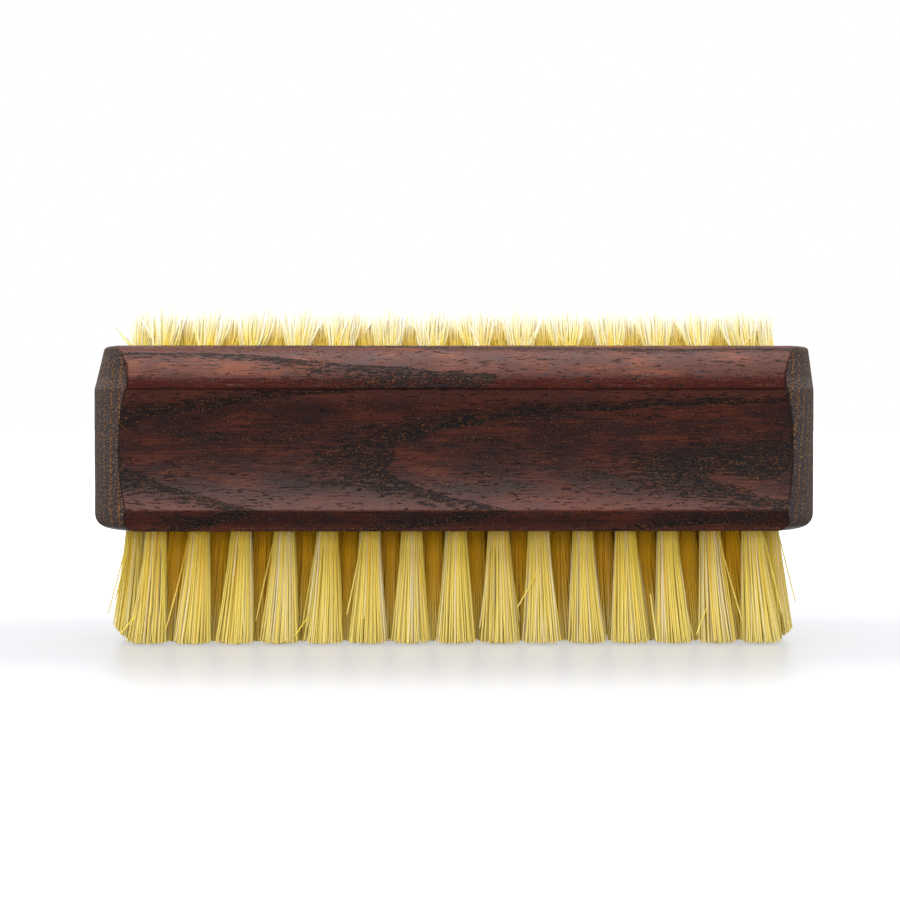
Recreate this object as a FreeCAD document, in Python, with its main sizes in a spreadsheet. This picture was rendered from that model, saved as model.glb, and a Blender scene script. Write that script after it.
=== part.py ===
import FreeCAD, Part
import os
import re
import Sketcher

# Two-sided nail brush: one wooden stock, bored from both flat faces, with long
# bristle tufts below and short ones above. Each tuft is folded over a flat wire
# anchor that is driven to the bottom of its bore. Millimetres. +X runs along the
# brush, -Y is its front, +Z is up, and the origin is under its middle, on the
# plane of the lower bristle tips.

DRIVING_SIZES = {
    # The stock's overall size
    "stock_length": 95,
    "stock_width": 40,
    "stock_height": 23.7,
    # Each long side, from the top face down: a bead, its flat land, an undercut,
    # a shallow finger groove, a lip and a chamfer. Depths are measured inward
    # from the land, which is the widest line.
    "bead_height": 5.1,
    "bead_depth": 4,
    "land_height": 0.15,
    "undercut_height": 0.4,
    "undercut_depth": 0.4,
    "groove_depth": 2.1,
    "lip_depth": 0.4,
    "chamfer_height": 2.7,
    "chamfer_depth": 1.5,
    # The bowed ends: one arc seen from above, rounded below and sloped above
    "end_arc_radius": 37.3,
    "end_bottom_round": 1.8,
    "end_slope_height": 5.6,
    "end_slope_depth": 1.1,
    # The long bristles below. A margin runs from the stock's outline to the
    # centre of the outermost bore. A tip stands away from the brush's middle by
    # the lean share more than its bore does, or less where that is negative.
    "lower_free_length": 14.9,
    "lower_bore_diameter": 3,
    "lower_bore_depth": 9,
    "lower_end_margin": 6.1,
    "lower_side_margin": 9,
    "lower_lean_share": 0.03,
    # The short bristles above
    "upper_free_length": 5.4,
    "upper_bore_diameter": 3.8,
    "upper_bore_depth": 8,
    "upper_end_margin": 7.2,
    "upper_side_margin": 9.6,
    "upper_lean_share": -0.015,
    # What holds them: clearances, and the flat wire anchors
    "bore_clearance": 0.1,
    "tuft_gap": 0.4,
    "anchor_thickness": 0.35,
    "anchor_height": 1.8,
    "anchor_bite": 0.4,
    "fold_thickness": 0.5,
    # How far a cutting sketch runs past what it cuts
    "cut_overrun": 1,
}

# Tufts in each row, from the front row to the back row. Every second row is
# shifted by half a pitch.
ROW_COUNTS = {
    "lower": [15, 16, 15, 16, 15],
    "upper": [14, 15, 14, 15, 14],
}

# What follows from the driving sizes, in the order in which it is worked out
DERIVED_SIZES = {
    "half_width": "stock_width / 2",
    "half_length": "stock_length / 2",
    "bead_radius": "(bead_height ^ 2 + bead_depth ^ 2) / (2 * min(bead_height; bead_depth))",
    "undercut_radius": "(undercut_height ^ 2 + undercut_depth ^ 2) / (2 * undercut_depth)",
    "groove_top": "stock_height - bead_height - land_height - undercut_height",
    "groove_chord": "groove_top - chamfer_height",
    "groove_sag": "groove_depth - (undercut_depth + lip_depth) / 2",
    "groove_radius": "(groove_chord ^ 2 / 4 + groove_sag ^ 2) / (2 * groove_sag)",
    "end_arc_centre": "half_length - end_arc_radius",
    "corner_reach": "sqrt(end_arc_radius ^ 2 + half_width ^ 2)",
    "end_cut_reach": "end_arc_centre + corner_reach + cut_overrun",
    "lower_face_level": "lower_free_length",
    "lower_tip_level": "0",
    "lower_bore_level": "lower_face_level + lower_bore_depth",
    "lower_plug_level": "lower_bore_level - bore_clearance",
    "lower_anchor_level": "lower_bore_level - fold_thickness - anchor_height",
    "upper_face_level": "lower_face_level + stock_height",
    "upper_tip_level": "upper_face_level + upper_free_length",
    "upper_bore_level": "upper_face_level - upper_bore_depth",
    "upper_plug_level": "upper_bore_level + bore_clearance",
    "upper_anchor_level": "upper_bore_level + fold_thickness",
}
for side, counts in ROW_COUNTS.items():
    DERIVED_SIZES |= {
        f"{side}_pitch": f"(stock_length - 2 * {side}_end_margin) / {max(counts) - 1}",
        f"{side}_row_pitch": f"(stock_width - 2 * {side}_side_margin) / {len(counts) - 1}",
        f"{side}_diagonal": f"sqrt({side}_pitch ^ 2 / 4 + {side}_row_pitch ^ 2)",
        f"{side}_tip_spacing": f"min({side}_pitch; {side}_diagonal) * (1 + {side}_lean_share)",
        f"{side}_tip_radius": f"({side}_tip_spacing - tuft_gap) / 2",
        f"{side}_plug_radius": f"{side}_bore_diameter / 2 - bore_clearance",
        f"{side}_slot_length": f"{side}_bore_diameter + 2 * anchor_bite",
        f"{side}_slot_mouth": f"sqrt({side}_bore_diameter ^ 2 - anchor_thickness ^ 2) / 2",
    }

doc = FreeCAD.newDocument("nail_brush")


def make_sheet():
    """The sheet of sizes: driving sizes as plain numbers, derived ones as formulas."""
    sheet = doc.addObject("Spreadsheet::Sheet", "Sizes")
    contents = {alias: str(value) for alias, value in DRIVING_SIZES.items()}
    contents |= {alias: f"={formula}" for alias, formula in DERIVED_SIZES.items()}
    for row, (alias, content) in enumerate(contents.items(), start=1):
        sheet.set(f"A{row}", alias)
        sheet.set(f"B{row}", content)
        sheet.setAlias(f"B{row}", alias)
    doc.recompute()
    return sheet


sizes = make_sheet()


def bound(formula):
    """A formula in the sheet's aliases, as an expression that other objects can hold."""
    return re.sub(r"[a-z]+(_[a-z]+)+", lambda alias: f"Sizes.{alias[0]}", formula)


def number(formula):
    """The present value of a formula in the sheet's aliases."""
    value = sizes.evalExpression(bound(formula))
    return float(getattr(value, "Value", value))


def bind(item, **formulas):
    """Bind properties of an object to formulas. Two underscores stand for a dot."""
    for name, formula in formulas.items():
        item.setExpression(name.replace("__", "."), bound(formula))


def origin_plane(body, role):
    """One of a body's own origin planes, found by its role."""
    return next(item for item in body.Origin.OriginFeatures if item.Role == role)


def new_sketch(body, name, role):
    """An empty sketch on one of a body's own origin planes."""
    sketch = body.newObject("Sketcher::SketchObject", name)
    sketch.AttachmentSupport = [(origin_plane(body, role), "")]
    sketch.MapMode = "FlatFace"
    return sketch


def hold(sketch, kind, places, formula):
    """Add a dimension to a sketch and bind it to a formula."""
    index = sketch.addConstraint(Sketcher.Constraint(kind, *places, number(formula)))
    sketch.setExpression(f"Constraints[{index}]", bound(formula))


def hold_point(sketch, item, end, across, up):
    """Hold one point of a sketch by its two coordinates, on an axis where one is zero."""
    for kind, axis, formula in (("DistanceX", -2, across), ("DistanceY", -1, up)):
        if formula == "0":
            sketch.addConstraint(Sketcher.Constraint("PointOnObject", item, end, axis))
        else:
            hold(sketch, kind, (-1, 1, item, end), formula)


def draw_outline(sketch, corners, arcs=()):
    """A closed outline through corners, each a pair of formulas.

    arcs gives the sides that are arcs instead of lines: the side's number, a
    formula for its radius, and a turn of 1 where the arc's centre lies to the left
    of the way that the outline runs, or -1 where it lies to the right. An arc is
    stored counter-clockwise, so with a turn of -1 it starts at its second corner.
    """
    arcs = {number_of_side: (radius, turn) for number_of_side, radius, turn in arcs}
    places = [FreeCAD.Vector(number(across), number(up)) for across, up in corners]
    first_end = {}
    for item, (start, stop) in enumerate(zip(places, places[1:] + places[:1])):
        first_end[item] = 1
        if item not in arcs:
            sketch.addGeometry(Part.LineSegment(start, stop))
            continue
        radius, turn = number(arcs[item][0]), arcs[item][1]
        chord = stop - start
        left = FreeCAD.Vector(-chord.y, chord.x) * (turn / chord.Length)
        rise = (radius**2 - chord.Length**2 / 4) ** 0.5
        sketch.addGeometry(Part.Arc(start, (start + stop) / 2 + left * (rise - radius), stop))
        if turn < 0:
            first_end[item] = 2
    for item, (across, up) in enumerate(corners):
        before = (item - 1) % len(corners)
        joined = (before, 3 - first_end[before], item, first_end[item])
        sketch.addConstraint(Sketcher.Constraint("Coincident", *joined))
        hold_point(sketch, item, first_end[item], across, up)
        if item in arcs:
            hold(sketch, "Radius", (item,), arcs[item][0])


def set_tip(body, feature, sign):
    """Make a feature the body's tip and return the change of volume that it brings.

    It stops the script if the feature didn't add (sign 1) or remove (sign -1).
    """
    before = 0 if body.Shape.isNull() else body.Shape.Volume
    body.Tip = feature
    doc.recompute()
    change = body.Shape.Volume - before
    if sign * change <= 0:
        raise ValueError(f"{feature.Name} changed the volume by {change}")
    return change


def mirror(body, feature, role, name, sign):
    """The same feature on the other side of one of the body's origin planes."""
    mirrored = body.newObject("PartDesign::Mirrored", name)
    mirrored.Originals = [feature]
    mirrored.MirrorPlane = (origin_plane(body, role), [""])
    set_tip(body, mirrored, sign)


def pad_section(body):
    """The stock as a straight bar: half of its section, padded and mirrored."""
    section = new_sketch(body, "HalfSection", "YZ_Plane")
    corners = [
        ("0", "0"),
        ("half_width - chamfer_depth", "0"),
        ("half_width - lip_depth", "chamfer_height"),
        ("half_width - undercut_depth", "groove_top"),
        ("half_width", "groove_top + undercut_height"),
        ("half_width", "stock_height - bead_height"),
        ("half_width - bead_depth", "stock_height"),
        ("0", "stock_height"),
    ]
    arcs = [(2, "groove_radius", -1), (3, "undercut_radius", 1), (5, "bead_radius", 1)]
    draw_outline(section, corners, arcs)
    bar = body.newObject("PartDesign::Pad", "HalfBar")
    bar.Profile = section
    bar.Midplane = True
    bind(bar, Length="stock_length")
    set_tip(body, bar, 1)
    mirror(body, bar, "XZ_Plane", "WholeBar", 1)


def bow_ends(body):
    """Turn each end to an arc by removing what lies outside the end's section."""
    section = new_sketch(body, "OutsideEnd", "XZ_Plane")
    corners = [
        ("half_length - end_bottom_round", "0"),
        ("half_length", "end_bottom_round"),
        ("half_length", "stock_height - end_slope_height"),
        ("half_length - end_slope_depth", "stock_height"),
        ("half_length - end_slope_depth", "stock_height + cut_overrun"),
        ("end_cut_reach", "stock_height + cut_overrun"),
        ("end_cut_reach", "-cut_overrun"),
        ("half_length - end_bottom_round", "-cut_overrun"),
    ]
    draw_outline(section, corners, [(0, "end_bottom_round", 1)])
    foot = FreeCAD.Vector(number("end_arc_centre"), 0)
    head = FreeCAD.Vector(number("end_arc_centre"), number("stock_height"))
    axis = section.addGeometry(Part.LineSegment(foot, head), True)
    hold_point(section, axis, 1, "end_arc_centre", "0")
    hold_point(section, axis, 2, "end_arc_centre", "stock_height")
    groove = body.newObject("PartDesign::Groove", "EndBow")
    groove.Profile = section
    groove.ReferenceAxis = (section, ["Axis0"])
    groove.Midplane = True
    groove.Angle = 180
    set_tip(body, groove, -1)
    mirror(body, groove, "YZ_Plane", "OtherEndBow", -1)


def draw_bore(sketch, side, across, along):
    """A bore's outline: a circle that the anchor's slot notches in front and behind."""
    left, right = (f"{across} {sign} anchor_thickness / 2" for sign in "-+")
    front, back = (f"{along} {sign} {side}_slot_length / 2" for sign in "-+")
    lower, upper = (f"{along} {sign} {side}_slot_mouth" for sign in "-+")
    corners = [
        (right, lower),
        (right, upper),
        (right, back),
        (left, back),
        (left, upper),
        (left, lower),
        (left, front),
        (right, front),
    ]
    radius = f"{side}_bore_diameter / 2"
    draw_outline(sketch, corners, [(0, radius, 1), (4, radius, 1)])


def drill(body, side, first_row):
    """The blind bores of every second row, from first_row on, with the anchors' slots."""
    counts = ROW_COUNTS[side]
    rows = counts[first_row::2]
    name = f"{side.title()}From{first_row + 1}"
    outline = new_sketch(body, f"{name}Outline", "XY_Plane")
    if side == "upper":
        bind(outline, AttachmentOffset__Base__z="stock_height")
    across = f"{(1 - rows[0]) / 2} * {side}_pitch"
    along = f"{first_row - (len(counts) - 1) / 2} * {side}_row_pitch"
    draw_bore(outline, side, across, along)
    bore = body.newObject("PartDesign::Pocket", f"{name}Bore")
    bore.Profile = outline
    bore.Reversed = side == "lower"
    bind(bore, Length=f"{side}_bore_depth")
    one_bore = set_tip(body, bore, -1)
    pattern = body.newObject("PartDesign::LinearPattern", f"{name}Pattern")
    pattern.Originals = [bore]
    pattern.Direction = (outline, ["H_Axis"])
    pattern.Direction2 = (outline, ["V_Axis"])
    pattern.Occurrences = rows[0]
    pattern.Occurrences2 = len(rows)
    bind(
        pattern,
        Length=f"{rows[0] - 1} * {side}_pitch",
        Length2=f"{2 * (len(rows) - 1)} * {side}_row_pitch",
    )
    bores = round(set_tip(body, pattern, -1) / one_bore) + 1
    if bores != sum(rows):
        raise ValueError(f"{name} has {bores} bores of {sum(rows)}")


def make_stock():
    """The wooden stock, as one body."""
    body = doc.addObject("PartDesign::Body", "Stock")
    body.Label = "stock"
    bind(body, Placement__Base__z="lower_face_level")
    pad_section(body)
    bow_ends(body)
    for side in ROW_COUNTS:
        for first_row in (0, 1):
            drill(body, side, first_row)
    return body


def make_circle(name, across, along, level, radius):
    """A level circle; its centre and its radius are formulas."""
    circle = doc.addObject("Part::Circle", name)
    bind(
        circle,
        Radius=radius,
        Placement__Base__x=across,
        Placement__Base__y=along,
        Placement__Base__z=level,
    )
    return circle


def make_anchor(name, side, across, along):
    """A flat wire anchor on edge across a bore, its ends biting into the wood."""
    anchor = doc.addObject("Part::Box", name)
    bind(
        anchor,
        Length="anchor_thickness",
        Width=f"{side}_slot_length",
        Height="anchor_height",
        Placement__Base__x=f"{across} - anchor_thickness / 2",
        Placement__Base__y=f"{along} - {side}_slot_length / 2",
        Placement__Base__z=f"{side}_anchor_level",
    )
    return anchor


def make_tuft(name, side, across, along):
    """A tuft's envelope: a straight plug in the bore, then a flare that may lean."""
    spread = f"(1 + {side}_lean_share)"
    plug, tip = f"{side}_plug_radius", f"{side}_tip_radius"
    circles = [
        make_circle(f"{name}_plug", across, along, f"{side}_plug_level", plug),
        make_circle(f"{name}_mouth", across, along, f"{side}_face_level", plug),
        make_circle(
            f"{name}_tip", f"{across} * {spread}", f"{along} * {spread}", f"{side}_tip_level", tip
        ),
    ]
    tuft = doc.addObject("Part::Loft", name)
    tuft.Sections = circles
    tuft.Solid = True
    tuft.Ruled = True
    return tuft


def make_group(name, label, items):
    """Separate solids that are kept as one node."""
    group = doc.addObject("Part::Compound", name)
    group.Label = label
    group.Links = items
    return group


def make_row(side, row):
    """One row: its anchors, and its tufts with the anchors' room taken out of them."""
    counts = ROW_COUNTS[side]
    along = f"{row - (len(counts) - 1) / 2} * {side}_row_pitch"
    name = f"{side.title()}Row{row + 1}"
    anchors, tufts = [], []
    for item in range(counts[row]):
        across = f"{item - (counts[row] - 1) / 2} * {side}_pitch"
        anchors.append(make_anchor(f"{name}Anchor{item + 1}", side, across, along))
        tufts.append(make_tuft(f"{name}Tuft{item + 1}", side, across, along))
    anchor_row = make_group(f"{name}Anchors", f"{side}_anchor_row_{row + 1}", anchors)
    whole_tufts = make_group(f"{name}WholeTufts", f"{name}WholeTufts", tufts)
    tuft_row = doc.addObject("Part::Cut", f"{name}Tufts")
    tuft_row.Label = f"{side}_tuft_row_{row + 1}"
    tuft_row.Base = whole_tufts
    tuft_row.Tool = anchor_row
    return [(tuft_row, counts[row]), (anchor_row, counts[row])]


def check_and_write(nodes):
    """Stop on any failed object or bad shape, then write one file for each node."""
    for item in doc.Objects:
        if {"Invalid", "Error"} & set(item.State):
            raise ValueError(f"{item.Name} is {item.State}")
    for node, solids in nodes:
        shape = node.Shape
        if shape.isNull() or not shape.isValid() or len(shape.Solids) != solids:
            raise ValueError(f"{node.Label} has a bad shape")
        if min(solid.Volume for solid in shape.Solids) <= 0:
            raise ValueError(f"{node.Label} has a solid that is inside out")
    os.makedirs("parts", exist_ok=True)
    for node, solids in nodes:
        node.Shape.exportStep(f"parts/{node.Label}.step")
        print(f"{node.Label}: {solids} solids, {node.Shape.Volume:.1f} cubic mm")


nodes = [(make_stock(), 1)]
for side, counts in ROW_COUNTS.items():
    for row in range(len(counts)):
        nodes += make_row(side, row)
doc.recompute()
check_and_write(nodes)
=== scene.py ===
from math import radians, sin, cos, asin, sqrt

import bmesh
import bpy
import numpy as np
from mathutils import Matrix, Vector
from mathutils.geometry import delaunay_2d_cdt


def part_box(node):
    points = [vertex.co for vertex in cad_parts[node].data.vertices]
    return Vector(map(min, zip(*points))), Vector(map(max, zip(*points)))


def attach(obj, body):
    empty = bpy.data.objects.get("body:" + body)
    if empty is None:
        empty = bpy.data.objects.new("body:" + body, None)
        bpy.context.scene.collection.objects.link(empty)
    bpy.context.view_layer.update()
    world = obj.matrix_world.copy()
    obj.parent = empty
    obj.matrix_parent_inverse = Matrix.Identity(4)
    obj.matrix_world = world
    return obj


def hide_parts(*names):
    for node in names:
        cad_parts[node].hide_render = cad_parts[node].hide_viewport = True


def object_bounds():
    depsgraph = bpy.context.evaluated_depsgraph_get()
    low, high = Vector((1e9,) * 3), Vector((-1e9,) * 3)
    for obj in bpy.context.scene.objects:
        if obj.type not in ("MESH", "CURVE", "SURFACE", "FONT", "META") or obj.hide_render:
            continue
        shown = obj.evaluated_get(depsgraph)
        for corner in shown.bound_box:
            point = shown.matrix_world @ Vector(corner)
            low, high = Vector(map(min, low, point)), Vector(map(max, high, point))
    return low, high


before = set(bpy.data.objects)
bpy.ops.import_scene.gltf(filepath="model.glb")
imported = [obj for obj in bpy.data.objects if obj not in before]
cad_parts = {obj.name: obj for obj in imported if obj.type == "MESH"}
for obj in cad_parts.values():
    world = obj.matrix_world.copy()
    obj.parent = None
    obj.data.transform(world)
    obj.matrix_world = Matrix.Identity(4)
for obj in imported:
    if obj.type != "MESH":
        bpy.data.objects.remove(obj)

# Looks of a two-sided nail brush: a dark, oiled wooden stock, worn soft along its
# edges, and tufts of plant fibre that are made strand by strand. Lengths are in
# metres, and MM turns the maker's millimetres into them.
MM = 0.001

cad_low, cad_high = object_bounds()
stock_low, stock_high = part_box("stock")


# The stock's sizes: all but the soft top edge of its ends are as in the CAD source
HALF_LENGTH, HALF_WIDTH = stock_high.x, stock_high.y
STOCK_HEIGHT = stock_high.z - stock_low.z
CHAMFER_HEIGHT, CHAMFER_DEPTH = 2.7 * MM, 1.5 * MM
LIP_DEPTH = 0.4 * MM
GROOVE_TOP, GROOVE_RADIUS = 18.05 * MM, 18.2 * MM
LEDGE_ROUND = 0.4 * MM
BEAD_HEIGHT, BEAD_DEPTH = 5.1 * MM, 4 * MM
END_ARC_RADIUS = 37.3 * MM
END_ARC_CENTRE = HALF_LENGTH - END_ARC_RADIUS
END_BOTTOM_ROUND, END_TOP_ROUND = 1.8 * MM, 0.5 * MM
END_SLOPE_HEIGHT = 5.6 * MM
# The ends were sanded by eye: how deep the slope is on each bow and at every corner,
# and how far the left corners stand outside the bow's arc
LEFT_SLOPE_DEPTH, RIGHT_SLOPE_DEPTH, CORNER_SLOPE_DEPTH = 1.4 * MM, 0.8 * MM, 0.25 * MM
LEFT_CORNER_GAIN = 0.3 * MM
# Rings of the skin: the last one below the chamfer's edge, and how far in they run
# over each flat face, as shares of the strip's width
EDGE_STEP = 0.1 * MM
FACE_STRIP, FACE_STRIP_SHARES = 1 * MM, np.linspace(1, 0.25, 4)

# Wear: the size of its patches, chips and dents, how deep they go, and how much is
# worn off where a point counts as lying on an edge
WEAR_SIZE = (9 * MM, 9 * MM, 4 * MM)
CHIP_SIZE, CHIP_DEPTH = (0.5 * MM, 0.5 * MM, 0.7 * MM), 0.13 * MM
DENT_SIZE, DENT_DEPTH = (6 * MM, 6 * MM, 3 * MM), 0.03 * MM
EDGE_LOSS = 0.08 * MM
# Points closer together than this are one: in the finished skin, and in a face's cut
WELD, CUT_TOLERANCE = 0.001 * MM, 1e-9

# Each side's tufts: how many in each row, where, and how wide. An anchor row's
# box gives the row's place, because each anchor stands in the middle of a bore.
# The holes were drilled by eye: all drift a little to the left, and each strays.
SIDES = {
    "lower": dict(
        counts=(15, 16, 15, 16, 15),
        face=stock_low.z,
        tips=cad_low.z,
        bore_radius=1.5 * MM,
        bore_depth=9 * MM,
        tip_radius=2.64 * MM,
        lean_share=0.03,
        drift=-0.26 * MM,
        drill_reach=0.17 * MM,
        drill_seed=4,
    ),
    "upper": dict(
        counts=(14, 15, 14, 15, 14),
        face=stock_high.z,
        tips=cad_high.z,
        bore_radius=1.9 * MM,
        bore_depth=8 * MM,
        tip_radius=2.63 * MM,
        lean_share=-0.015,
        drift=-0.3 * MM,
        drill_reach=0.204 * MM,
        drill_seed=5,
    ),
}


def bore_places(side):
    """The bores' centres row by row: near even places between a row's two end anchors."""
    facts = SIDES[side]
    rng = np.random.default_rng(facts["drill_seed"])
    rows = []
    for row, count in enumerate(facts["counts"], start=1):
        low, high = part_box(f"{side}_anchor_row_{row}")
        half_anchor = (high.y - low.y) / 2
        thickness = high.x - low.x - (count - 1) * pitch_of(side)
        lengthwise = np.linspace(low.x + thickness / 2, high.x - thickness / 2, count)
        crosswise = np.full(count, low.y + half_anchor)
        even = np.stack([lengthwise + facts["drift"], crosswise], axis=1)
        rows.append(even + facts["drill_reach"] * rng.uniform(-1, 1, even.shape))
    return rows


def pitch_of(side):
    """The distance from bore to bore in a row, from the lengths of two rows."""
    first, second = (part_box(f"{side}_anchor_row_{row}") for row in (1, 2))
    return (second[1].x - second[0].x) - (first[1].x - first[0].x)


# Surfaces


def waves(points, size, seed, count=24):
    """A smooth random field from about -1 to 1: the mean of sine waves.

    Each wave runs in a random direction with a wavelength near size and a random
    phase. size may be one length or one for each axis.
    """
    rng = np.random.default_rng(seed)
    turns = rng.normal(size=(count, 3)) / np.asarray(size)
    phases = rng.uniform(0, 2 * np.pi, count)
    return np.sin(points @ turns.T * 2 + phases).sum(axis=-1) / sqrt(count)


def soften(grid, rounds, axis):
    """Each row of points moves to the mean of itself and its neighbours, a quarter from each.

    Along axis 0 the two end rows stay. Axis 1 is closed. A flat face stays where it
    is, and an edge is rounded, more with each round.
    """
    for _ in range(rounds):
        before, after = np.roll(grid, 1, axis), np.roll(grid, -1, axis)
        mean = (before + 2 * grid + after) / 4
        if axis == 0:
            mean[[0, -1]] = grid[[0, -1]]
        grid = mean
    return grid


def normals_of(grid):
    """The unit normal at each point of a grid that is closed along axis 1."""
    along = np.roll(grid, -1, 1) - np.roll(grid, 1, 1)
    up = np.gradient(grid, axis=0)
    normal = np.cross(along, up)
    return normal / np.linalg.norm(normal, axis=-1, keepdims=True)


def arc_width(height, low, high, radius):
    """The width at a height on a hollow arc through two points, each a height and a width.

    The arc's centre lies radius away from both, outward. The width is the centre's,
    less the root of the radius squared less the height above the centre squared.
    """
    low, high = np.array(low), np.array(high)
    chord = high - low
    length = np.hypot(*chord)
    across = np.array([-chord[1], chord[0]]) / length
    centre = (low + high) / 2 + across * sqrt(radius**2 - length**2 / 4)
    return centre[1] - np.sqrt(radius**2 - (height - centre[0]) ** 2)


def stock_levels():
    """Height, half width, end inset and slope share of each ring, from below up.

    A strip on each flat face comes first and last, where the rings shrink inward.
    Between them the side runs over chamfer, groove, ledge, land and bead, with the
    rings closer together at its edges. The inset rounds the end's bottom and top
    edges, and the slope share grows from 0 at the slope's foot to 1 at the top face.
    """
    land_low = GROOVE_TOP + LEDGE_ROUND
    land_high = STOCK_HEIGHT - BEAD_HEIGHT
    bead_radius = (BEAD_HEIGHT**2 + BEAD_DEPTH**2) / (2 * BEAD_DEPTH)
    lip = (CHAMFER_HEIGHT, HALF_WIDTH - LIP_DEPTH)
    brow = (GROOVE_TOP, HALF_WIDTH - LEDGE_ROUND)

    chamfer = np.concatenate([
        END_BOTTOM_ROUND * (1 - np.cos(np.linspace(0, np.pi / 2, 12))[:-1]),
        np.linspace(END_BOTTOM_ROUND, CHAMFER_HEIGHT - EDGE_STEP, 5),
        [CHAMFER_HEIGHT],
    ])
    groove_share = np.append(crowd_ends(62), 1)[1:]
    groove = CHAMFER_HEIGHT + (GROOVE_TOP - CHAMFER_HEIGHT) * groove_share
    ledge_turn = np.linspace(np.pi / 2, 0, 11)[1:]
    ledge = land_low - LEDGE_ROUND * np.sin(ledge_turn)
    land = np.linspace(land_low, land_high, 4)[1:]
    bead_turn = np.linspace(0, asin(BEAD_HEIGHT / bead_radius), 24)[1:]
    bead = land_high + bead_radius * np.sin(bead_turn)

    height = np.concatenate([chamfer, groove, ledge, land, bead])
    width = np.concatenate([
        HALF_WIDTH - CHAMFER_DEPTH + (CHAMFER_DEPTH - LIP_DEPTH) * chamfer / CHAMFER_HEIGHT,
        arc_width(groove, lip, brow, GROOVE_RADIUS),
        HALF_WIDTH - LEDGE_ROUND * (1 - np.cos(ledge_turn)),
        np.full(len(land), HALF_WIDTH),
        HALF_WIDTH - bead_radius * (1 - np.cos(bead_turn)),
    ])
    in_round = np.clip(END_BOTTOM_ROUND - height, 0, None)
    inset = END_BOTTOM_ROUND - np.sqrt(END_BOTTOM_ROUND**2 - in_round**2)
    in_round = np.clip(height - STOCK_HEIGHT + END_TOP_ROUND, 0, END_TOP_ROUND)
    inset += END_TOP_ROUND - np.sqrt(END_TOP_ROUND**2 - in_round**2)
    slope = np.clip((height - STOCK_HEIGHT) / END_SLOPE_HEIGHT + 1, 0, 1)

    strip = FACE_STRIP * FACE_STRIP_SHARES
    ones = np.ones_like(strip)
    height = np.concatenate([0 * ones, height, STOCK_HEIGHT * ones])
    width = np.concatenate([width[0] - strip, width, width[-1] - strip[::-1]])
    inset = np.concatenate([inset[0] + strip, inset, inset[-1] + strip[::-1]])
    slope = np.concatenate([0 * ones, slope, ones])
    return height, width, inset, slope


def crowd_ends(count, share=0.6):
    """Places from 0 to under 1, closer together near both ends."""
    even = np.arange(count) / count
    return even - share * np.sin(2 * np.pi * even) / (2 * np.pi)


def stock_grid(line_count=190, arc_count=90):
    """The stock's skin: rings of points, each a rectangle with bowed ends.

    A ring's long sides are straight and lie its half width from the middle. Its
    ends are bows about the arc's centre. At the corners, where a bow reaches the half
    width, its radius is the end radius less the inset and the corners' slope, plus
    the corners' gain. In between it is less by the gain and by the rest of the bow's
    own slope, times 1 less the square of the share of the way to the corner.
    """
    height, width, inset, slope = (values[:, None] for values in stock_levels())
    gains = {1: 0, -1: LEFT_CORNER_GAIN}
    reaches = {end: END_ARC_RADIUS - inset - slope * CORNER_SLOPE_DEPTH + gain
               for end, gain in gains.items()}
    turns = {end: np.arcsin(width / reach) for end, reach in reaches.items()}
    corners = {end: END_ARC_CENTRE + reaches[end] * np.cos(turns[end]) for end in gains}
    way = 2 * crowd_ends(arc_count) - 1
    level = np.broadcast_to(width, (len(width), line_count))
    lengthwise, crosswise = [], []
    for outward, depth in ((1, RIGHT_SLOPE_DEPTH), (-1, LEFT_SLOPE_DEPTH)):
        near, far, corner_turn = corners[-outward], corners[outward], turns[outward]
        line = (near + far) * crowd_ends(line_count) - near
        fall = gains[outward] + slope * (depth - CORNER_SLOPE_DEPTH)
        reach = reaches[outward] - fall * (1 - way**2)
        bow = END_ARC_CENTRE + reach * np.cos(corner_turn * way)
        lengthwise += [outward * line, outward * bow]
        crosswise += [-outward * level, outward * reach * np.sin(corner_turn * way)]
    lengthwise, crosswise = np.hstack(lengthwise), np.hstack(crosswise)
    level_up = np.broadcast_to(height, lengthwise.shape)
    return np.stack([lengthwise, crosswise, level_up], axis=-1)


def worn_stock():
    """The stock's skin with its edges worn round, unevenly, and its end creases chipped.

    Wear only takes wood away, so that the corner above the groove stays sharp.
    """
    sharp = stock_grid() + np.array([0, 0, stock_low.z])
    little = soften(soften(sharp, 1, 0), 1, 1)
    much = soften(soften(sharp, 2, 0), 3, 1)
    wear = np.clip(0.3 + 0.5 * waves(sharp, WEAR_SIZE, seed=3), 0, 1)
    grid = little + (much - little) * wear[..., None]
    outward = normals_of(sharp)
    filled = np.clip(((grid - sharp) * outward).sum(-1, keepdims=True), 0, None)
    grid -= filled * outward
    lost = np.linalg.norm(grid - sharp, axis=-1)
    near_edge = np.clip(lost / EDGE_LOSS, 0, 1)
    chips = np.clip(waves(sharp, CHIP_SIZE, seed=5) - 0.3, 0, 1.2)
    dents = np.clip(0.5 + 0.5 * waves(sharp, DENT_SIZE, seed=7), 0, 2)
    depth = CHIP_DEPTH * chips * near_edge + DENT_DEPTH * dents
    depth[[0, -1]] = 0
    return grid - normals_of(grid) * depth[..., None]


def grid_faces(rows, columns):
    """The quads of a grid of rows that are closed rings, as rows of four numbers."""
    first = np.arange(rows - 1)[:, None] * columns + np.arange(columns)
    second = np.arange(rows - 1)[:, None] * columns + (np.arange(columns) + 1) % columns
    return np.stack([first, second, second + columns, first + columns], -1).reshape(-1, 4)


def new_piece(name, points, faces):
    """A mesh object at the origin with its place in its mesh."""
    mesh = bpy.data.meshes.new(name)
    mesh.from_pydata(points.tolist(), [], faces)
    piece = bpy.data.objects.new(name, mesh)
    bpy.context.scene.collection.objects.link(piece)
    return piece


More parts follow.
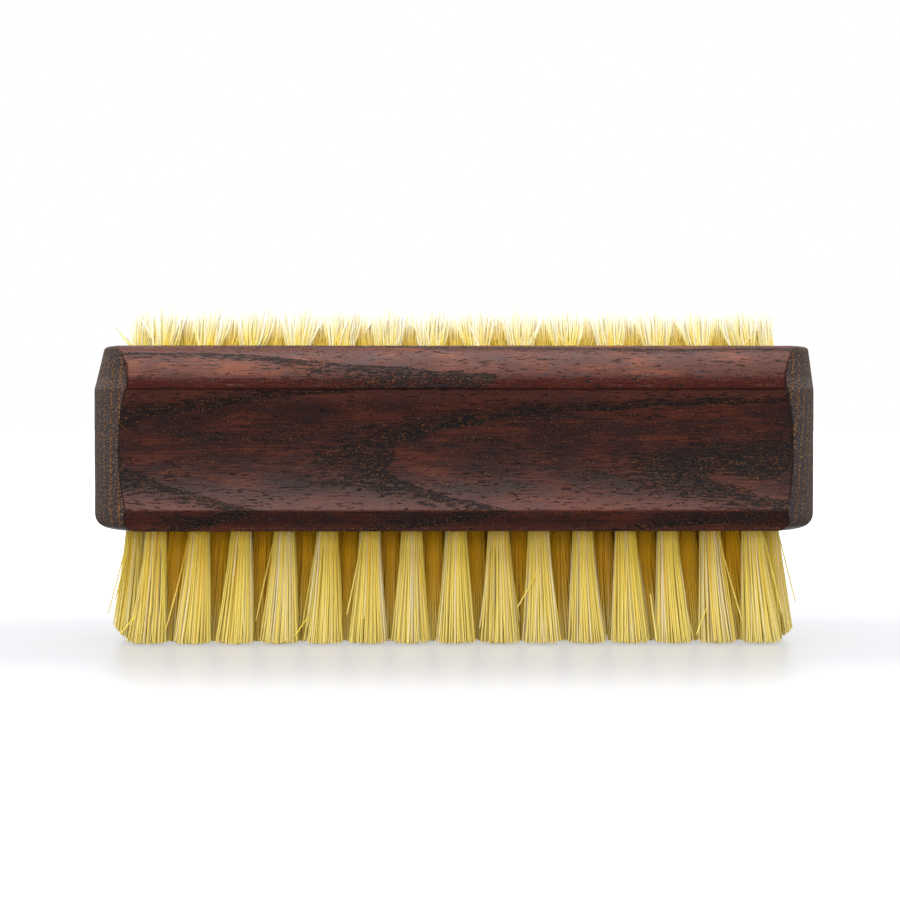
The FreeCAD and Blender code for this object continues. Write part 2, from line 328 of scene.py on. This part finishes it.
def bored_face(side, outline, first, sides=24, rim=0.15 * MM):
    """One flat face with its bores: points and faces, from the outline's ring inward.

    The face lies between the outline and a circle round each bore, which is the rim
    wider than the bore. From there the rim slopes in, the wall runs to the bore's
    depth, and a floor closes it. The points are numbered from first on.
    """
    facts = SIDES[side]
    inward = 1 if side == "lower" else -1
    turn = np.arange(sides) * 2 * np.pi / sides
    circle = np.stack([np.cos(turn), np.sin(turn)], axis=-1)
    centres = np.concatenate(bore_places(side))
    mouths = centres[:, None] + circle * (facts["bore_radius"] + rim)
    flat = np.concatenate([outline[:, :2], mouths.reshape(-1, 2)])
    numbers = np.arange(len(flat))
    loops = [numbers[: len(outline)], numbers[len(outline) :].reshape(-1, sides)]
    edges = [np.stack([loop, np.roll(loop, -1, axis=-1)], -1).reshape(-1, 2) for loop in loops]
    edges = np.concatenate(edges).tolist()
    inside_with_holes = 2
    places, _, faces, sources, *_ = delaunay_2d_cdt(
        flat.tolist(), edges, [], inside_with_holes, CUT_TOLERANCE
    )
    faces = np.array(faces)
    loop_of = (np.array([source[0] for source in sources]) - len(outline)) // sides
    corners = loop_of[faces]
    across_a_mouth = (corners[:, 0] >= 0) & (corners == corners[:, :1]).all(axis=1)
    faces = faces[~across_a_mouth]

    depths = np.array([0, rim, facts["bore_depth"]]) * inward
    radii = facts["bore_radius"] + np.array([rim, 0, 0])
    rings = np.empty((len(centres), 3, sides, 3))
    rings[..., :2] = centres[:, None, None] + circle * radii[:, None, None]
    rings[..., 2] = facts["face"] + depths[:, None]
    start = len(places) + np.arange(len(centres))[:, None, None] * 3 * sides
    walls = (start + grid_faces(3, sides)).reshape(-1, 4)
    floors = start[:, 0] + 2 * sides + np.arange(sides)
    points = np.column_stack([np.array(places), np.full(len(places), facts["face"])])
    points = np.concatenate([points, rings.reshape(-1, 3)])
    return points, sum(((first + part).tolist() for part in (faces, walls, floors)), [])


def make_stock():
    """The stock as one closed mesh: its worn skin and two bored faces."""
    grid = worn_stock()
    points = grid.reshape(-1, 3)
    faces = grid_faces(*grid.shape[:2]).tolist()
    for side, outline in (("lower", grid[0]), ("upper", grid[-1])):
        more_points, more_faces = bored_face(side, outline, first=len(points))
        points = np.concatenate([points, more_points])
        faces += more_faces
    piece = new_piece("wooden_stock", points, faces)
    shell = bmesh.new()
    shell.from_mesh(piece.data)
    bmesh.ops.remove_doubles(shell, verts=shell.verts, dist=WELD)
    bmesh.ops.recalc_face_normals(shell, faces=shell.faces)
    shell.to_mesh(piece.data)
    shell.free()
    piece.data.shade_smooth()
    return piece


# Strands

STRIPS = 64  # tints of strand, each with a strip of its own across the map
ROOT = 3 * MM  # how far a strand is followed into its bore
STRAND_SIDES = 5
END_TRIM_START, END_TRIM_WIDTH = 5 * MM, 2.2 * MM  # from the stock's end inward
END_SQUEEZE_START, END_SQUEEZE_SHARE = 4 * MM, 0.6  # the spread that is left past there
END_TRIM_LIMIT = 1.3  # times the end trim is the most that is cut
TIP_CLEARANCE = 0.05 * MM  # from the longest tips to the solids' box
WALL_SHARE = 1.6  # from the bore's wall to the outermost strand's middle, in its radii
STRAY_TRIM_SHARE = 0.25  # of its free length, the most that a stray one is shorter
THIN_SHARE, THICK_SHARE, TIP_SHARE = 0.75, 1.2, 0.75  # of the radius
STRIP_MARGIN = 0.1  # of a strip's width, on both sides
CAP_DEPTH = 0.01  # of the map, under a strand's tip
GOLDEN_TURN = np.pi * (3 - sqrt(5))
SHARP_ANGLE = radians(60)
STRAND_STEPS = np.array([-1, 0, 0.3, 0.6, 0.85, 1])  # from root to mouth, and on to the tip

# Each side's strands: how many in a tuft and how thick, how they spread, and how their
# tips are cut
STRANDS = {
    "lower": dict(
        count=132,
        radius=0.107 * MM,
        flare=1.25,
        scatter=0.12 * MM,
        bow=0.09 * MM,
        crown=0.22 * MM,
        ragged=0.15 * MM,
        end_trim=1.8 * MM,
        stray_share=0.045,
        stray_reach=0.9 * MM,
        seed=11,
    ),
    "upper": dict(
        count=84,
        radius=0.12 * MM,
        flare=0.82,
        scatter=0.3 * MM,
        bow=0.16 * MM,
        crown=1.2 * MM,
        ragged=0.28 * MM,
        end_trim=0.6 * MM,
        stray_share=0.06,
        stray_reach=0.9 * MM,
        seed=29,
    ),
}

# Strands that have left their tufts, by side and row, each from one point to another,
# in millimetres
LONE_STRANDS = {
    ("lower", 1): np.array([
        [(-41.4, -13.2, 3.8), (-43.3, -14.4, 1.6)],
        [(-19.3, -13.0, 3.6), (-20.9, -14.3, 1.3)],
        [(11.6, -12.0, 11.6), (7.8, -14.0, 5.0)],
        [(25.0, -12.4, 6.6), (25.7, -14.0, 0.6)],
        [(32.3, -12.8, 4.8), (30.8, -14.2, 1.4)],
    ]),
    ("upper", 2): np.array([
        [(-42.2, -5.2, 38.2), (-44.5, -6.0, 41.4)],
        [(-42.1, -5.6, 38.2), (-42.9, -6.4, 39.9)],
    ]),
}


def strand_lines(side, centres, rng):
    """The centre lines of a row's strands: tuft by strand by step, with a third axis of 3.

    In its bore a strand keeps its place in the bundle: places fill a disc along a
    spiral of even density. Past the mouth it moves towards the same place in the
    tip's wider disc, by the free share of its length to the power of flare, and
    bows sideways by half a sine wave. A stray one runs straight to a place further
    off. Its tip is cut off on a shallow dome. Near the brush's two ends the tufts
    spread less, and their trim is rounded.
    """
    facts, look = SIDES[side], STRANDS[side]
    tufts, count = len(centres), look["count"]
    share = np.sqrt((np.arange(count) + 0.5) / count)
    turn = np.arange(count) * GOLDEN_TURN + rng.uniform(0, 2 * np.pi, (tufts, 1))
    place = share[:, None] * np.stack([np.cos(turn), np.sin(turn)], axis=-1)

    root = place * (facts["bore_radius"] - WALL_SHARE * look["radius"])
    tip = place * (facts["tip_radius"] - look["scatter"])
    tip += rng.normal(0, look["scatter"], tip.shape)
    stray = rng.random((tufts, count, 1)) < look["stray_share"]
    tip += stray * rng.normal(0, look["stray_reach"], tip.shape)
    tip += centres[:, None] * facts["lean_share"]
    lengthwise = centres[:, None, 0] + tip[..., 0]
    past_squeeze = np.clip(np.abs(lengthwise) - HALF_LENGTH + END_SQUEEZE_START, 0, None)
    tip[..., 0] -= np.sign(lengthwise) * past_squeeze * (1 - END_SQUEEZE_SHARE)
    bow = rng.normal(0, look["bow"], tip.shape)
    flare = np.where(stray, 1, look["flare"])[:, :, None]

    free = np.clip(STRAND_STEPS, 0, 1)[:, None]
    line = np.empty((tufts, count, len(STRAND_STEPS), 3))
    line[..., :2] = (
        centres[:, None, None]
        + root[:, :, None]
        + (tip - root)[:, :, None] * free**flare
        + bow[:, :, None] * np.sin(np.pi * free)
    )
    length = abs(facts["tips"] - facts["face"])
    cut = look["crown"] * share**2 + np.abs(rng.normal(0, look["ragged"], (tufts, count)))
    cut += stray[..., 0] * rng.uniform(0, STRAY_TRIM_SHARE, (tufts, count)) * length
    past_end = np.abs(centres[:, None, 0] + tip[..., 0]) - (HALF_LENGTH - END_TRIM_START)
    cut += look["end_trim"] * np.clip(past_end / END_TRIM_WIDTH, 0, END_TRIM_LIMIT)
    reach = length - cut - TIP_CLEARANCE
    outward = np.sign(facts["tips"] - facts["face"])
    depth = np.where(STRAND_STEPS < 0, STRAND_STEPS * ROOT, STRAND_STEPS * reach[..., None])
    line[..., 2] = facts["face"] + outward * depth
    return line


def make_strands(name, lines, radius, rng):
    """One mesh of strands: a tube of a few sides along each line, thinner at its tip.

    A tube's ring lies level, and its radius is the strand's own, which varies from
    strand to strand. The map's u is the strand's tint, as the number of a strip and
    the place across it, and its v runs from the root, 0, to the tip, 1.
    """
    count, steps = lines.shape[:2]
    turn = np.arange(STRAND_SIDES) * 2 * np.pi / STRAND_SIDES
    ring = np.stack([np.cos(turn), np.sin(turn), np.zeros(STRAND_SIDES)], axis=-1)
    thickness = radius * rng.uniform(THIN_SHARE, THICK_SHARE, (count, 1, 1, 1))
    taper = np.where(STRAND_STEPS == 1, TIP_SHARE, 1)[:, None, None]
    points = lines[:, :, None] + ring * thickness * taper

    start = np.arange(count)[:, None, None] * steps * STRAND_SIDES
    sides = (start + grid_faces(steps, STRAND_SIDES)).reshape(-1, 4)
    tips = (start[:, 0] + (steps - 1) * STRAND_SIDES) + np.arange(STRAND_SIDES)
    piece = new_piece(name, points.reshape(-1, 3), sides.tolist() + tips.tolist())

    strip = rng.integers(0, STRIPS, count)
    along = (STRAND_STEPS - STRAND_STEPS[0]) / (STRAND_STEPS[-1] - STRAND_STEPS[0])
    even = np.arange(STRAND_SIDES + 1) / STRAND_SIDES
    edge = STRIP_MARGIN + (1 - 2 * STRIP_MARGIN) * even
    quad = np.empty((count, steps - 1, STRAND_SIDES, 4, 2))
    quad[..., 0] = strip[:, None, None, None]
    quad[..., 0] += np.stack([edge[:-1], edge[1:], edge[1:], edge[:-1]], axis=-1)
    quad[..., 1] = np.stack([along[:-1], along[:-1], along[1:], along[1:]], axis=-1)[:, None]
    cap = np.empty((count, STRAND_SIDES, 2))
    cap[..., 0] = strip[:, None] + edge[:-1]
    cap[..., 1] = 1 - CAP_DEPTH * np.abs(np.sin(turn))
    places = np.concatenate([quad.reshape(-1, 2), cap.reshape(-1, 2)]) / [STRIPS, 1]
    for map_name in ("strand", "OFBake"):
        layer = piece.data.uv_layers.new(name=map_name)
        layer.data.foreach_set("uv", places.astype(np.float32).ravel())
    piece.data.shade_smooth()
    piece.data.set_sharp_from_angle(angle=SHARP_ANGLE)
    return piece


def make_rows(side, material):
    """A side's rows of tufts, one piece for each."""
    look = STRANDS[side]
    for row, centres in enumerate(bore_places(side), start=1):
        rng = np.random.default_rng(look["seed"] + row)
        lines = strand_lines(side, centres, rng).reshape(-1, len(STRAND_STEPS), 3)
        if (side, row) in LONE_STRANDS:
            start, stop = LONE_STRANDS[side, row].transpose(1, 0, 2)[:, :, None] * MM
            lone = start + (stop - start) * (STRAND_STEPS[:, None] + 1) / 2
            lines = np.concatenate([lines, lone])
        piece = make_strands(f"{side}_bristles_{row}", lines, look["radius"], rng)
        piece.data.materials.append(material)
        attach(piece, "root")
        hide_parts(f"{side}_tuft_row_{row}")


# Materials


def paint(red, green, blue):
    """A colour in linear light from its sRGB values, 0 to 255."""
    share = np.array([red, green, blue]) / 255
    linear = np.where(share <= 0.04045, share / 12.92, ((share + 0.055) / 1.055) ** 2.4)
    return (*linear.tolist(), 1)


class Finish:
    """A new material, or a new world, and its nodes."""

    def __init__(self, name, kind="Material"):
        blocks = bpy.data.materials if kind == "Material" else bpy.data.worlds
        self.kind = kind
        self.block = blocks.new(name)
        self.block.use_nodes = True
        self.tree = self.block.node_tree
        self.tree.nodes.clear()

    def add(self, kind, inputs=None, output=0, stops=None, **settings):
        """Any node: its settings or a ramp's stops first, then values or links of its sockets."""
        node = self.tree.nodes.new(f"ShaderNode{kind}")
        for key, value in settings.items():
            setattr(node, key, value)
        for place, colour in stops or ():
            node.color_ramp.elements.new(place).color = colour
        if stops:
            node.color_ramp.elements.remove(node.color_ramp.elements[0])
            node.color_ramp.elements.remove(node.color_ramp.elements[-1])
        for key, value in (inputs or {}).items():
            if isinstance(value, Wire):
                self.tree.links.new(value.socket, node.inputs[key])
            else:
                node.inputs[key].default_value = value
        return Wire(self, node.outputs[output])

    def millimetres(self):
        """The place on the piece, in the maker's millimetres."""
        metres = self.add("TexCoord", output="Object")
        return self.add("VectorMath", {0: metres, "Scale": 1 / MM}, operation="SCALE")

    def axes(self, vector):
        """A vector's three numbers."""
        return [self.add("SeparateXYZ", {0: vector}, output=axis) for axis in range(3)]

    def mix(self, share, first, second):
        """A colour between two colours."""
        return self.add("Mix", {0: share, 6: first, 7: second}, output=2, data_type="RGBA")

    def noise(self, place, size, detail=1, roughness=0.5):
        """Noise about 0.5 whose lumps are about size, three lengths, in the place's unit."""
        spread = self.add("VectorMath", {0: place, 1: size}, operation="DIVIDE")
        inputs = {"Vector": spread, "Scale": 1, "Detail": detail, "Roughness": roughness}
        return self.add("TexNoise", inputs)

    def seen(self):
        """1 for what the camera sees, straight, in a mirror or through glass, and 0 for light."""
        rays = ("Camera", "Glossy", "Transmission")
        camera, mirror, glass = (self.add("LightPath", output=f"Is {ray} Ray") for ray in rays)
        return camera.most(mirror.most(glass))

    def surface(self, inputs):
        """The finished material, from the sockets of its one shader."""
        return self.finish(self.add("BsdfPrincipled", inputs))

    def finish(self, shader):
        """The finished block, with its last shader linked to its output."""
        node = self.tree.nodes.new(f"ShaderNodeOutput{self.kind}")
        self.tree.links.new(shader.socket, node.inputs["Surface"])
        return self.block


class Wire:
    """A node's output. Arithmetic on it adds Math nodes."""

    def __init__(self, finish, socket):
        self.finish, self.socket = finish, socket

    def math(self, operation, *values):
        return self.finish.add("Math", dict(enumerate(values)), operation=operation)

    def __add__(self, other):
        return self.math("ADD", self, other)

    def __sub__(self, other):
        return self.math("SUBTRACT", self, other)

    def __rsub__(self, other):
        return self.math("SUBTRACT", other, self)

    def __mul__(self, other):
        return self.math("MULTIPLY", self, other)

    def __truediv__(self, other):
        return self.math("DIVIDE", self, other)

    __radd__, __rmul__ = __add__, __mul__

    def most(self, other):
        """The larger of this and another."""
        return self.math("MAXIMUM", self, other)

    def ramp(self, low, high):
        """From 0 at low to 1 at high with soft ends, the other way round if low is the larger."""
        inputs = {"Value": self, "From Min": low, "From Max": high}
        return self.finish.add("MapRange", inputs, interpolation_type="SMOOTHSTEP")


# The wood's rings, in the material's millimetres. Their number falls across the stock,
# by 1 for each ring's width, and changes slowly along its length and with its height.
HEART_LEVEL = 23.4
RING_WIDTH, RING_START, RING_WANDER = 2.6, 18.6, 1.1
RING_SLOPE, RING_RISE = -0.063, 0.094
RING_CUP, RING_TWIST, RING_BEND = 0.003, 0.0028, 0.0003

# The lumps of the wood's noise, in the material's millimetres: the grain runs along X
LUMPS = {
    "wander": (14, 5, 5),
    "pores": (1.3, 0.22, 0.22),
    "patches": (5, 0.9, 0.9),
    "fibres": (5, 0.13, 0.13),
    "clouds": (8, 2.6, 2.6),
    "dots": (0.19, 0.1, 0.1),
    "dashes": (0.4, 0.1, 0.1),
    "cool_sheen": (3.2, 0.9, 0.9),
    "grit": (0.4, 0.3, 0.16),
    "leather": (1, 0.5, 0.5),
}

# Zones of the wood by height, in the material's millimetres. Each comes in between its
# two levels, and the edge of a zone cuts it off between the next two.
FOOT = (16.2, 15.2)
# The lip zone is a painted highlight on the groove's lower part, and the brow zone painted light
# on the groove's top against the ledge's shadow
LIP_HIGHLIGHT, LIP_HIGHLIGHT_EDGE = (21, 17.8), (17.3, 17.7)
BROW_LIGHT, BROW_LIGHT_EDGE = (30.5, 32.4), (33.1, 32.9)
BEAD = (32.9, 33.3)
# The hollow above the ledge, painted deep red as painted shade
HOLLOW_SHADE = (35, 34.2)

BUMP_HEIGHT = 0.12 * MM


def early_wood(wood, place):
    """How much of a place is early wood, the open-pored start of a year's ring.

    A ring is a number that grows from the heart outward: it falls with the place
    across the stock and bends with the length and the height, so that the rings come
    out as cathedrals on the front. Past each whole number the early wood starts
    sharply, and it thins out over the next two fifths.
    """
    lengthwise, crosswise, height = wood.axes(place)
    rise = height - HEART_LEVEL
    wander = wood.noise(place, LUMPS["wander"], detail=2)
    ring = (
        lengthwise * RING_SLOPE
        - crosswise
        + rise * RING_RISE
        + rise * rise * RING_CUP
        + lengthwise * rise * RING_TWIST
        + lengthwise * lengthwise * RING_BEND
        + (wander - 0.5) * RING_WANDER
        - RING_START
    ) / RING_WIDTH
    year = wood.add("Math", {0: ring}, operation="FRACT")
    return year.ramp(0.42, 0.02) * year.ramp(0, 0.02)


def wood_finish():
    """Dark, oiled, ring-porous wood.

    The pores are streaks of noise, long along the grain. Golden dots and dashes are
    painted glints, what light catches in them. Late wood runs from dark to warm, with
    embers, and with bluish-grey patches of painted sheen. The bead, and all above the
    ledge, is painted paler as painted light, and the hollow above the ledge deep red as
    painted shade. The groove's lower part is painted lighter as a painted highlight, its
    top as painted light against the ledge's shadow, and the foot is a little lighter. The
    ends, cut across the grain, are grey and full of specks, and the creases beside them
    are painted nearly black, a painted shade.
    """
    wood = Finish("oiled_wood")
    place = wood.millimetres()
    height = wood.axes(place)[2]
    early = early_wood(wood, place)
    foot = height.ramp(*FOOT)
    bead = height.ramp(*BEAD)
    hollow = bead * height.ramp(*HOLLOW_SHADE)
    lip = height.ramp(*LIP_HIGHLIGHT) * height.ramp(*LIP_HIGHLIGHT_EDGE)
    brow = height.ramp(*BROW_LIGHT) * height.ramp(*BROW_LIGHT_EDGE)

    sideways = wood.axes(wood.add("NewGeometry", output="Normal"))[0]
    facing = sideways.math("ABSOLUTE", sideways)
    end = facing.ramp(0.45, 0.75)
    crease_shade = facing.ramp(0.06, 0.2) * facing.ramp(0.7, 0.45)

    pores = wood.noise(place, LUMPS["pores"], detail=2, roughness=0.6)
    patches = wood.noise(place, LUMPS["patches"])
    open_pores = (pores + early * 0.17 + (patches - 0.5) * 0.16).ramp(0.61, 0.66)
    fibres = wood.noise(place, LUMPS["fibres"], detail=2, roughness=0.6)
    clouds = wood.noise(place, LUMPS["clouds"], detail=3)
    dots = wood.noise(place, LUMPS["dots"])
    dots = (dots + early * 0.02 + foot * 0.05 + (patches - 0.5) * 0.1).ramp(0.67, 0.75)
    dashes = (wood.noise(place, LUMPS["dashes"]) + early * 0.07).ramp(0.73, 0.8)
    specks = (dots * 0.6).most(dashes * 0.55)
    grit = wood.noise(place, LUMPS["grit"])
    end_specks = (grit + early * 0.12).ramp(0.6, 0.66) * end

    shade = fibres * 0.6 + clouds * 0.7 - 0.15
    late = wood.mix(shade.ramp(0.36, 0.66), paint(28, 11, 8), paint(55, 20, 13))
    # Painted light: the bead, and all above the ledge, is paler where it faces up.
    late = wood.mix(bead * 0.45, late, paint(90, 41, 26))
    # Embers are warm patches in the wood; on the bead there are more of them and they are paler,
    # as painted light.
    embers = (clouds * 0.65 + fibres * 0.35).ramp(0.5, 0.62) * (0.28 + bead * 0.2)
    ember = wood.mix(bead, paint(86, 41, 22), paint(120, 62, 38))
    late = wood.mix(embers, late, ember)
    # Painted sheen: bluish-grey patches, lighter on the bead.
    cool_sheen = wood.noise(place, LUMPS["cool_sheen"], detail=3)
    cool_sheen_share = (cool_sheen + early * 0.1).ramp(0.52, 0.68) * 0.45
    late = wood.mix(cool_sheen_share, late, wood.mix(bead, paint(25, 18, 22), paint(44, 37, 44)))
    # Painted shade: the hollow above the ledge deep red.
    late = wood.mix(hollow * 0.95, late, paint(54, 9, 1))
    # Painted highlight on the groove's lower part and painted light on its top against the
    # ledge's shadow; the foot is a little lighter.
    late = wood.mix(lip * 0.4 + brow * 0.4 + foot * 0.25, late, paint(92, 48, 38))
    ground = wood.mix(early * 0.5, late, paint(23, 14, 11))
    ground = wood.mix(end * 0.9, ground, paint(44, 42, 48))
    # Painted shade: the creases beside the ends nearly black.
    ground = wood.mix(crease_shade * 0.7, ground, paint(12, 10, 11))
    pored = wood.mix(open_pores * 0.9, ground, paint(9, 7, 8))
    # Painted glints: the golden dots and dashes on the faces; the ends' specks take the second
    # gold.
    gold = wood.mix(end, paint(152, 100, 50), paint(172, 122, 70))
    colour = wood.mix(specks.most(end_specks * 0.85), pored, gold)

    leather = wood.noise(place, LUMPS["leather"], detail=2)
    relief = fibres * 0.4 - open_pores * 0.9 + specks * 0.3 + leather * 0.35
    relief = relief + end * grit * 2.5
    return wood.surface({
        "Base Color": colour,
        "Roughness": 0.3 + early * 0.08 + open_pores * 0.2 + end * 0.4 - hollow * 0.15,
        "Normal": wood.add("Bump", {"Height": relief, "Strength": 0.7, "Distance": BUMP_HEIGHT}),
        "Specular IOR Level": 0.125,
    })


# Half the block of inner tufts that are painted a deeper colour, as painted shade, in the
# material's millimetres
INNER_LENGTH, INNER_WIDTH, INNER_BLEND = 38.9, 7.6, 1.1
# The noise of the stains: how far apart two strips are in it, and how long a strand is
STAIN_STRIDE, STAIN_LENGTH = 7.3, 3


def strand_finish(
    name, tints, deep_shade_colour, tip_colour, tip_start, tip_share,
    through_colour, through_share, inner_gain
):
    """Plant fibre: each strip of the map has a tint, and every strand turns to its tip colour
    towards its tip.

    The tufts that stand behind the outer ones are painted a deeper colour, up to their
    tips, as painted shade. A share of the light passes through a strand: less of it
    near its tip, and more or less of it in the inner tufts, by their gain.
    """
    fibre = Finish(name)
    from_middle = fibre.add("VectorMath", {0: fibre.millimetres()}, operation="ABSOLUTE")
    lengthwise, crosswise, _ = fibre.axes(from_middle)
    inner_shade = lengthwise.ramp(INNER_LENGTH + INNER_BLEND, INNER_LENGTH)
    inner_shade = inner_shade * crosswise.ramp(INNER_WIDTH + INNER_BLEND, INNER_WIDTH)
    across, along, _ = fibre.axes(fibre.add("UVMap", uv_map="strand"))
    strip = fibre.add("Math", {0: across * STRIPS}, operation="FLOOR")
    chance = fibre.add("TexWhiteNoise", {"W": strip}, noise_dimensions="1D")
    stain_place = fibre.add("CombineXYZ", {0: strip * STAIN_STRIDE, 1: along * STAIN_LENGTH})
    stain = fibre.noise(stain_place, (1, 1, 1), detail=2)
    tint = fibre.add("ValToRGB", {0: chance + (stain - 0.5) * 0.35}, stops=tints)
    # Towards its tip a strand turns to the tip colour: paler on the upper side, and darker on the
    # lower, a painted shade.
    pale = along.ramp(tip_start, 1.05) * tip_share
    # Painted shade: the inner tufts take the deeper colour, up to their tips.
    deep = fibre.mix(inner_shade * along.ramp(1.02, 0.8) * 0.85, tint, deep_shade_colour)
    colour = fibre.mix(pale, deep, tip_colour)
    shown = fibre.add("BsdfPrincipled", {
        "Base Color": colour,
        "Roughness": 0.4,
        "Specular IOR Level": 0.8,
    })
    through = fibre.add("BsdfTranslucent", {"Color": through_colour})
    share = through_share * (1 - pale * 0.85) + inner_shade * inner_gain
    return fibre.finish(fibre.add("MixShader", {0: share, 1: shown, 2: through}))


WIRE_LINES = (0.05, 2, 0.05)  # the size of a drawn line, in the material's millimetres


def wire_finish():
    """Drawn flat wire: bright metal with fine lines along it."""
    wire = Finish("drawn_wire")
    lines = wire.noise(wire.millimetres(), WIRE_LINES, detail=2)
    return wire.surface({
        "Base Color": wire.mix(lines, paint(150, 150, 148), paint(205, 205, 200)),
        "Metallic": 1,
        "Roughness": 0.25 + lines * 0.2,
    })


# The brush

stock = make_stock()
stock.data.materials.append(wood_finish())
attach(stock, "root")
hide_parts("stock")

lower_finish = strand_finish(
    "long_fibre",
    tints=[
        (0.0, paint(246, 206, 84)),
        (0.1, paint(254, 238, 120)),
        (0.55, paint(254, 244, 136)),
        (0.7, paint(236, 230, 180)),
        (1.0, paint(252, 248, 226)),
    ],
    deep_shade_colour=paint(242, 192, 28),
    # Painted shade: the lower tips are darker than the strands, where more light falls on them.
    tip_colour=paint(222, 200, 108),
    tip_start=0.5,
    tip_share=0.7,
    through_colour=paint(254, 238, 96),
    through_share=0.6,
    inner_gain=0.18,
)
upper_finish = strand_finish(
    "short_fibre",
    tints=[
        (0.0, paint(252, 222, 80)),
        (0.3, paint(252, 236, 128)),
        (0.5, paint(248, 240, 206)),
        (1.0, paint(250, 250, 246)),
    ],
    deep_shade_colour=paint(254, 224, 44),
    tip_colour=paint(254, 254, 253),
    tip_start=0.42,
    tip_share=0.9,
    through_colour=paint(254, 247, 160),
    through_share=0.6,
    inner_gain=-0.15,
)
make_rows("lower", lower_finish)
make_rows("upper", upper_finish)

wire = wire_finish()
for side, facts in SIDES.items():
    for row in range(1, len(facts["counts"]) + 1):
        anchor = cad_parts[f"{side}_anchor_row_{row}"]
        anchor.data.materials.clear()
        anchor.data.materials.append(wire)


# The stage: floor, world, lamps and camera


FLOOR_HALF = 3.0
# The floor's glow is full past the far distance, and nearer to the front and back
# than to the sides by the stretch. Less glow near the brush is a painted shade round
# it, where the lamps' own shadow shows
GLOW_NEAR, GLOW_FAR, GLOW_STRETCH = 60 * MM, 220 * MM, 1.8


def make_floor():
    """A pale floor that glows when looked at or mirrored, less near the brush: a painted shade
    round it.
    """
    corners = FLOOR_HALF * np.array([[-1, -1, 0], [1, -1, 0], [1, 1, 0], [-1, 1, 0]])
    floor = new_piece("floor", corners, [[0, 1, 2, 3]])
    pale = Finish("pale_floor")
    seen = pale.seen()
    place = pale.add("TexCoord", output="Object")
    place = pale.add("VectorMath", {0: place, 1: (1, GLOW_STRETCH, 1)}, operation="MULTIPLY")
    distance = pale.add("VectorMath", {0: place}, output="Value", operation="LENGTH")
    far = distance.ramp(GLOW_NEAR, GLOW_FAR)
    floor.data.materials.append(pale.surface({
        # Painted tint: the blue grey offsets the yellow light that the strands throw on the
        # floor.
        "Base Color": paint(78, 80, 86),
        "Roughness": 0.35,
        "Specular IOR Level": 0.3,
        "Emission Color": (1, 1, 1, 1),
        "Emission Strength": seen * (far * 0.5 + 0.5),
    }))


def make_world(level):
    """White to look at, to mirror and to see through, and a plain level of light elsewhere."""
    studio = Finish("studio", kind="World")
    light = {"Color": (1, 1, 1, 1), "Strength": level + (1 - level) * studio.seen()}
    bpy.context.scene.world = studio.finish(studio.add("Background", light))


def make_lamp(name, place, aim, width, depth, power, mirrored=True):
    """A soft lamp that faces a point. Shiny surfaces may mirror it."""
    light = bpy.data.lights.new(name, "AREA")
    light.shape = "RECTANGLE"
    light.size, light.size_y = width, depth
    light.energy = power
    lamp = bpy.data.objects.new(name, light)
    lamp.location = place
    lamp.visible_glossy = mirrored
    direction = np.array(aim) - np.array(place)
    lamp.rotation_euler = Vector(direction).to_track_quat("-Z", "Y").to_euler()
    bpy.context.scene.collection.objects.link(lamp)


CAMERA_DISTANCE = 440 * MM
CAMERA_HEIGHT = 31.6 * MM
CAMERA_TURN = radians(1.6)
AIM_LEFT = radians(0.073)
PITCH_DOWN = radians(0.861)
SENSOR_WIDTH, LENS = 36, 132.6  # the camera's own millimetres


def make_camera():
    """The photograph's view: level with the brush's stock, a little to the left."""
    data = bpy.data.cameras.new("photo_view")
    data.sensor_width, data.lens = SENSOR_WIDTH, LENS
    data.clip_start, data.clip_end = 0.01, 20
    camera = bpy.data.objects.new("photo_view", data)
    camera.location = (
        -CAMERA_DISTANCE * sin(CAMERA_TURN),
        -CAMERA_DISTANCE * cos(CAMERA_TURN),
        CAMERA_HEIGHT,
    )
    camera.rotation_euler = (radians(90) - PITCH_DOWN, 0, AIM_LEFT - CAMERA_TURN)
    bpy.context.scene.collection.objects.link(camera)
    bpy.context.scene.camera = camera


make_floor()
make_world(level=0.45)
middle = (0, 0, cad_high.z / 2)
make_lamp("key", (-0.02, -0.3, 0.7), middle, width=0.4, depth=1.3, power=12)
make_lamp("fill", (-0.05, -0.8, 0.06), middle, width=0.4, depth=0.4, power=5, mirrored=False)
make_lamp("back", (0.05, 0.5, 0.7), middle, width=0.8, depth=0.5, power=6.5, mirrored=False)
make_camera()
bpy.context.scene.view_settings.view_transform = "Standard"
